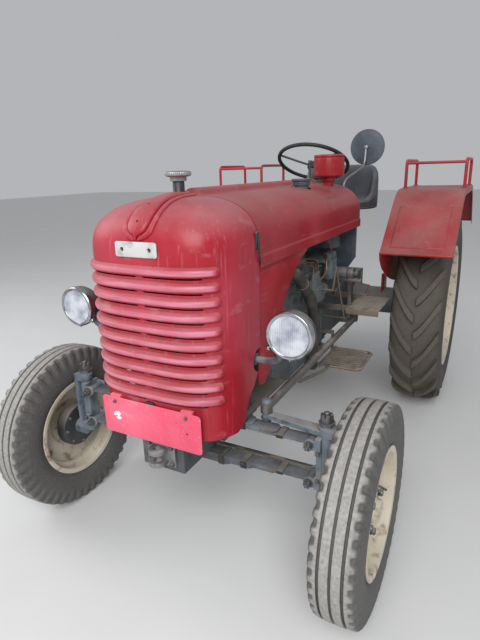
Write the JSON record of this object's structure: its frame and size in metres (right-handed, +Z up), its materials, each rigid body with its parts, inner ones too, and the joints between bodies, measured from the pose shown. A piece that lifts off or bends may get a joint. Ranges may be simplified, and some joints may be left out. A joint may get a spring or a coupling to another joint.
{
  "type": "farm tractor",
  "caption": "Vintage farm tractor with round-nosed grille, side lamps, twin front leaf springs, flat fenders with guard rails and chevron rear tyres.",
  "frame": {"origin": "on the ground, midway between the two ends and between the two sides of the whole vehicle", "axes": "-Y is forwards, +X is the driver's left, +Z is up"},
  "size_m": [1.59, 2.779, 1.664],
  "materials": {
    "cast_grey": "matt, oily and dusty",
    "pump_paint": "worn satin",
    "bare_rust": "rusty, matt",
    "red_paint": "old satin paint with dust",
    "plate_cream": "chalky, rust stained",
    "black_paint": "satin",
    "bare_steel": "dull, stained",
    "tyre": "matt, dusty",
    "seat_cover": "worn"
  },
  "bodies": {
    "chassis": {"engine_block": "cast_grey", "generator": "pump_paint", "starter": "black_paint", "oil_filter": "pump_paint", "exhaust": "bare_rust", "fuel_pump": "pump_paint", "air_filter": "cast_grey", "bell_housing": "cast_grey", "gearbox": "cast_grey", "rear_axle": "cast_grey", "front_frame": "cast_grey", "radiator": "black_paint", "fan": "cast_grey", "nose_shell": "red_paint", "badge_plate": "plate_cream", "number_plate": "red_paint", "front_hitch": "bare_rust", "side_aprons": "red_paint", "radiator_cap": "bare_steel", "fuel_tank": "bare_steel", "fuel_cap": "bare_steel", "dashboard": "black_paint", "steering_gear": "cast_grey", "upper_spring": "bare_steel", "lower_spring": "bare_steel", "kingpin_posts": "bare_steel", "headlamps": "black_paint", "fender_left": "red_paint", "fender_right": "red_paint", "guard_rails": "red_paint", "seat": "seat_cover", "seat_spring": "black_paint", "footplates": "bare_steel", "steps": "bare_steel", "controls": "bare_steel", "rear_mirror": "black_paint", "drawbar": "bare_rust", "tail_lamps": "black_paint"},
    "bonnet": {"bonnet": "red_paint", "pre_cleaner": "red_paint"},
    "steering_wheel": {"steering_wheel": "black_paint"},
    "knuckle_left": {"knuckle_left": "bare_steel"},
    "knuckle_right": {"knuckle_right": "bare_steel"},
    "tie_rod": {"tie_rod": "bare_steel"},
    "drag_link": {"drag_link": "bare_steel"},
    "drop_arm": {"drop_arm": "bare_steel"},
    "front_wheel_left": {"front_wheel_left": "plate_cream", "front_tyre_left": "tyre"},
    "front_wheel_right": {"front_wheel_right": "plate_cream", "front_tyre_right": "tyre"},
    "rear_wheel_left": {"rear_wheel_left": "plate_cream", "rear_tyre_left": "tyre"},
    "rear_wheel_right": {"rear_wheel_right": "plate_cream", "rear_tyre_right": "tyre"}
  },
  "joints": [
    {"name": "steer_left", "type": "hinge", "parent": "chassis", "child": "knuckle_left", "pos_m": [0.545, -1.0275, 0.5], "axis": [0, 0, 1], "range_deg": [-32, 32]},
    {"name": "steer_right", "type": "hinge", "parent": "chassis", "child": "knuckle_right", "pos_m": [-0.545, -1.0275, 0.5], "axis": [0, 0, 1], "range_deg": [-32, 32]},
    {"name": "tie_rod_swing", "type": "hinge", "parent": "knuckle_left", "child": "tie_rod", "pos_m": [0.545, -0.8775, 0.35], "axis": [0, 0, 1], "range_deg": [-32, 32]},
    {"name": "drag_link_swing", "type": "hinge", "parent": "knuckle_left", "child": "drag_link", "pos_m": [0.31, -0.9975, 0.6363], "axis": [0, 0, 1], "range_deg": [-32, 32]},
    {"name": "drop_arm_swing", "type": "hinge", "parent": "chassis", "child": "drop_arm", "pos_m": [0.275, 0.1975, 0.89], "axis": [1, 0, 0], "range_deg": [-31, 31]},
    {"name": "steering_wheel_turn", "type": "hinge", "parent": "chassis", "child": "steering_wheel", "pos_m": [-0.06, 0.4825, 1.488], "axis": [0, 0.4695, 0.8829], "range_deg": [-385, 385]},
    {"name": "front_left_spin", "type": "hinge", "parent": "knuckle_left", "child": "front_wheel_left", "pos_m": [0.676, -1.0275, 0.362], "axis": [1, 0, 0], "continuous": true},
    {"name": "front_right_spin", "type": "hinge", "parent": "knuckle_right", "child": "front_wheel_right", "pos_m": [-0.676, -1.0275, 0.362], "axis": [1, 0, 0], "continuous": true},
    {"name": "rear_left_spin", "type": "hinge", "parent": "chassis", "child": "rear_wheel_left", "pos_m": [0.623, 0.7875, 0.602], "axis": [1, 0, 0], "continuous": true},
    {"name": "rear_right_spin", "type": "hinge", "parent": "chassis", "child": "rear_wheel_right", "pos_m": [-0.623, 0.7875, 0.602], "axis": [1, 0, 0], "continuous": true},
    {"name": "bonnet_lift", "type": "hinge", "parent": "chassis", "child": "bonnet", "pos_m": [0, 0.3135, 1.386], "axis": [-1, 0, 0], "range_deg": [0, 40]}
  ],
  "couplings": [
    {"joint": "steer_right", "follows": "steer_left", "ratio": 1},
    {"joint": "tie_rod_swing", "follows": "steer_left", "ratio": -1},
    {"joint": "drag_link_swing", "follows": "steer_left", "ratio": -1},
    {"joint": "drop_arm_swing", "follows": "steer_left", "ratio": -0.95},
    {"joint": "steering_wheel_turn", "follows": "steer_left", "ratio": 12}
  ]
}
